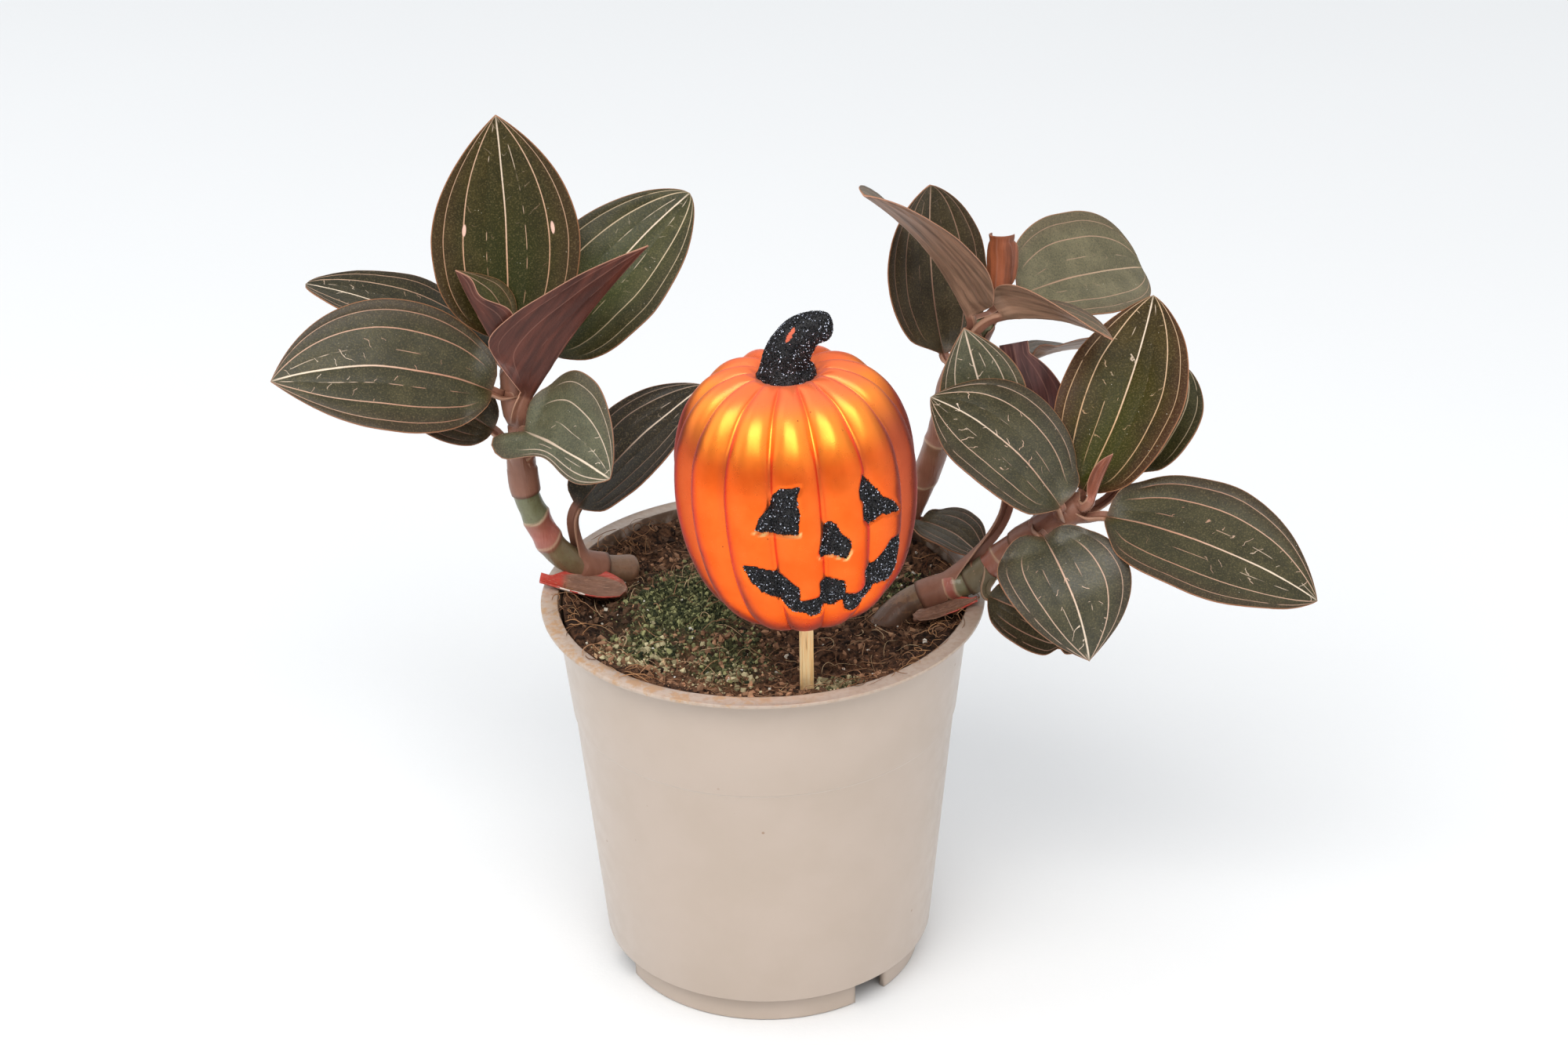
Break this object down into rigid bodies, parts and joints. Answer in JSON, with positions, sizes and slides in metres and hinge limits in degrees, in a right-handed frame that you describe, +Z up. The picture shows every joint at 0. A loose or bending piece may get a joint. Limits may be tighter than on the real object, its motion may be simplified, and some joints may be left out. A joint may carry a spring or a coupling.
{
  "type": "jewel orchid in a pot",
  "caption": "Jewel orchid with dark, pink-veined leaves on fleshy stems, in a tapered plastic nursery pot of soil, with a glittered pumpkin on a wooden stick stood at the front.",
  "frame": {"origin": "middle of the pot's underside, on the surface that the pot stands on", "axes": "+Z up along the pot's axis, -Y towards the front, where the pumpkin's face looks"},
  "size_m": [0.2709, 0.1359, 0.2383],
  "materials": {
    "pot": "satin",
    "soil": "matte",
    "stem": "satin",
    "leaf": "satin",
    "young_leaf": "satin",
    "dry_sheath": "matte",
    "stick": "matte",
    "pumpkin": "satin",
    "glitter": "matte"
  },
  "bodies": {
    "root": {"pot": "pot", "soil": "soil", "stem_left": "stem", "stem_back": "stem", "stem_right": "stem", "leaf_left_tall": "leaf", "leaf_left_back": "leaf", "leaf_left_folded": "young_leaf", "leaf_left_furled": "young_leaf", "leaf_left_wide": "leaf", "leaf_left_far": "leaf", "leaf_left_under": "leaf", "leaf_left_curled": "leaf", "leaf_left_low": "leaf", "leaf_back_tall": "leaf", "leaf_back_edge": "leaf", "leaf_back_furled": "young_leaf", "leaf_back_wide": "leaf", "leaf_back_front": "leaf", "leaf_back_right": "leaf", "leaf_back_low": "leaf", "leaf_right_tall": "leaf", "leaf_right_inner": "leaf", "leaf_right_long": "leaf", "leaf_right_front": "leaf", "leaf_right_under": "leaf", "leaf_right_far": "leaf", "leaf_right_behind": "leaf", "leaf_right_purple": "young_leaf", "leaf_right_bud": "young_leaf", "old_sheath_left": "dry_sheath", "old_sheath_right": "dry_sheath", "pick_stick": "stick", "pumpkin_body": "pumpkin", "pumpkin_stem": "glitter", "eye_left": "glitter", "eye_right": "glitter", "nose": "glitter", "mouth": "glitter"}
  },
  "joints": []
}
